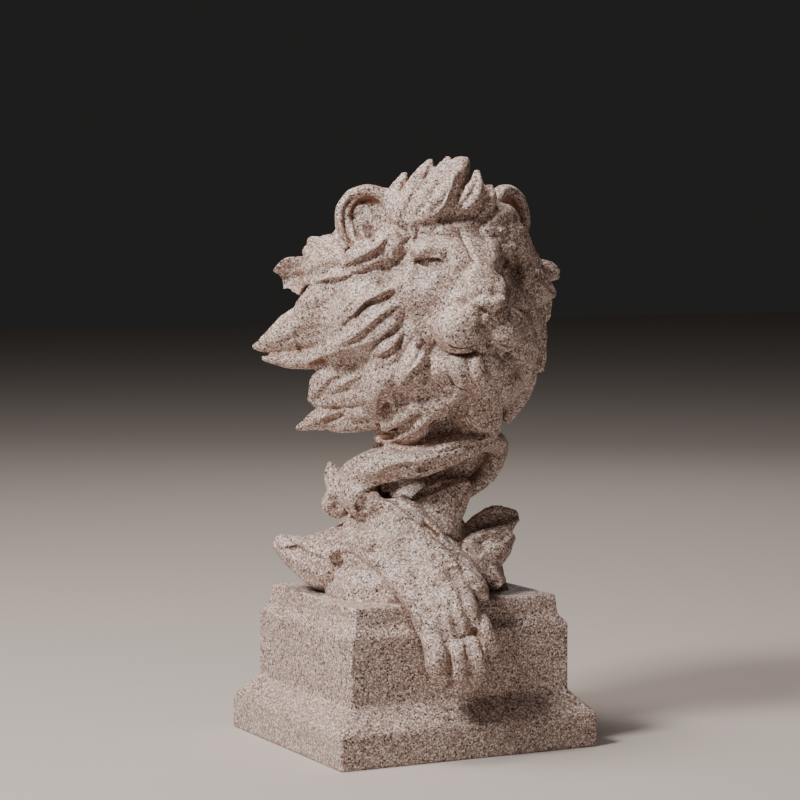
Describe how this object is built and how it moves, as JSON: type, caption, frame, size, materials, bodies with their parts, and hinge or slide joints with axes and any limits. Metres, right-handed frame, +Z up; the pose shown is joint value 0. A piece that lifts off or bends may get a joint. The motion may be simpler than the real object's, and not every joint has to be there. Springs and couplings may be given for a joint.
{
  "type": "lion head statue",
  "caption": "Desk ornament: a lion's head and mane on a neck of winding folds, one foreleg hanging over the front of a square stepped plinth, cast in speckled sandstone resin",
  "frame": {"origin": "centre of the plinth's underside", "axes": "+Z up, the lion faces -Y over the plinth's front, +X is on the right as seen from the front"},
  "size_m": [0.1317, 0.1233, 0.25],
  "materials": {
    "lion_head_statue": "warm greige sand-filled casting resin, speckled dark brown and pale, with a faint sheen"
  },
  "bodies": {
    "root": {"lion_head_statue": "lion_head_statue"}
  },
  "joints": []
}
